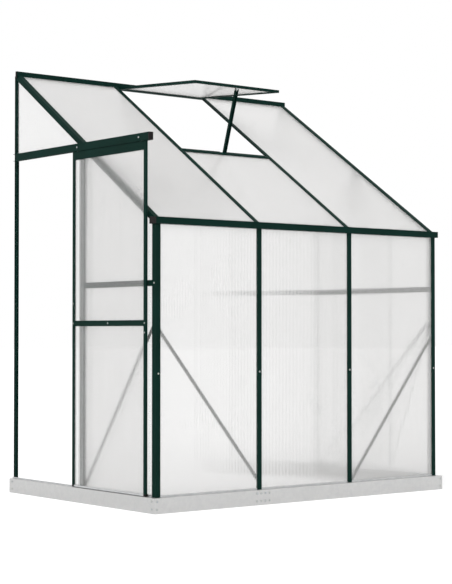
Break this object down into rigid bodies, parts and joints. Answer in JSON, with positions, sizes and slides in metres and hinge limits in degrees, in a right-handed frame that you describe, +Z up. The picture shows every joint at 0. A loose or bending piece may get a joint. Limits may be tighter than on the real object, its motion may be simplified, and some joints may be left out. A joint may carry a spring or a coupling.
{
  "type": "lean-to greenhouse",
  "caption": "Lean-to greenhouse that stands against a wall: green frame with twin-wall sheets on a steel base, sliding end door and a top-hung roof vent on a stay.",
  "frame": {"origin": "middle of the footprint, on the ground", "axes": "+Z up, +Y from the low eave to the house wall, +X from the door end to the closed end"},
  "size_m": [1.934, 1.323, 2.251],
  "materials": {
    "green_coated_aluminium": "dark green powder coat on aluminium extrusion",
    "galvanised_steel": "pale galvanised sheet",
    "mill_aluminium": "plain mill finish",
    "twin_wall_sheet": "clear twin-wall polycarbonate, 4 mm",
    "black_plastic": "moulded end caps and door shoes",
    "zinc_plated_steel": "bright zinc",
    "white_nylon": "moulded nylon"
  },
  "bodies": {
    "frame": {"base_rail_left": "galvanised_steel", "base_rail_right": "galvanised_steel", "base_rail_front_left": "galvanised_steel", "base_rail_front_right": "galvanised_steel", "base_splice_plate": "galvanised_steel", "base_brackets": "galvanised_steel", "base_bolts": "zinc_plated_steel", "sheet_sills": "mill_aluminium", "door_floor_rail": "mill_aluminium", "corner_post_left": "green_coated_aluminium", "corner_post_right": "green_coated_aluminium", "front_mullions": "green_coated_aluminium", "door_jamb": "green_coated_aluminium", "right_end_stud": "green_coated_aluminium", "wall_post_left": "green_coated_aluminium", "wall_post_right": "green_coated_aluminium", "mid_rail_left": "green_coated_aluminium", "mid_rails_right": "green_coated_aluminium", "eave_gutter": "green_coated_aluminium", "end_caps": "black_plastic", "ridge_bar": "green_coated_aluminium", "inner_rafters": "green_coated_aluminium", "rafter_left": "green_coated_aluminium", "rafter_right": "green_coated_aluminium", "vent_sill": "green_coated_aluminium", "stay_peg": "zinc_plated_steel", "front_braces": "green_coated_aluminium", "end_braces": "green_coated_aluminium", "front_sheet_left": "twin_wall_sheet", "front_sheet_middle": "twin_wall_sheet", "front_sheet_right": "twin_wall_sheet", "left_end_sheets": "twin_wall_sheet", "left_gable_sheet": "twin_wall_sheet", "right_front_sheets": "twin_wall_sheet", "right_rear_sheets": "twin_wall_sheet", "roof_sheet_left": "twin_wall_sheet", "roof_sheet_lower": "twin_wall_sheet", "roof_sheet_right": "twin_wall_sheet", "door_header": "green_coated_aluminium", "door_track": "green_coated_aluminium", "vent_hinge_rod": "zinc_plated_steel", "frame_screws": "zinc_plated_steel"},
    "door": {"door_stiles": "green_coated_aluminium", "door_top_rail": "green_coated_aluminium", "door_mid_rail": "green_coated_aluminium", "door_bottom_rail": "mill_aluminium", "door_sheet_lower": "twin_wall_sheet", "door_sheet_upper": "twin_wall_sheet", "door_hangers": "zinc_plated_steel", "roller_axles": "zinc_plated_steel", "door_shoes": "black_plastic", "door_screws": "zinc_plated_steel"},
    "roller_front": {"roller_front": "white_nylon"},
    "roller_rear": {"roller_rear": "white_nylon"},
    "vent_sash": {"vent_hinge_rail": "green_coated_aluminium", "vent_front_rail": "green_coated_aluminium", "vent_side_rails": "green_coated_aluminium", "vent_sheet": "twin_wall_sheet", "stay_bracket": "zinc_plated_steel"},
    "stay": {"vent_stay": "green_coated_aluminium"}
  },
  "joints": [
    {"name": "door_slide", "type": "slide", "parent": "frame", "child": "door", "axis": [0, 1, 0], "range_m": [0, 0.589]},
    {"name": "roller_front_spin", "type": "hinge", "parent": "door", "child": "roller_front", "pos_m": [-0.9525, -0.5295, 1.77885], "axis": [-1, 0, 0], "range_deg": [0, 3070]},
    {"name": "roller_rear_spin", "type": "hinge", "parent": "door", "child": "roller_rear", "pos_m": [-0.9525, 0.016, 1.77885], "axis": [-1, 0, 0], "range_deg": [0, 3070]},
    {"name": "vent_hinge", "type": "hinge", "parent": "frame", "child": "vent_sash", "pos_m": [0, 0.6215, 2.21567], "axis": [1, 0, 0], "range_deg": [0, 29.75]},
    {"name": "stay_swing", "type": "hinge", "parent": "vent_sash", "child": "stay", "pos_m": [0, -0.07414, 2.15722], "axis": [1, 0, 0], "range_deg": [0, 76.3]}
  ],
  "couplings": [
    {"joint": "roller_front_spin", "follows": "door_slide", "rad_per_m": 90.909},
    {"joint": "roller_rear_spin", "follows": "door_slide", "rad_per_m": 90.909},
    {"joint": "stay_swing", "follows": "vent_hinge", "ratio": 2.5613}
  ]
}
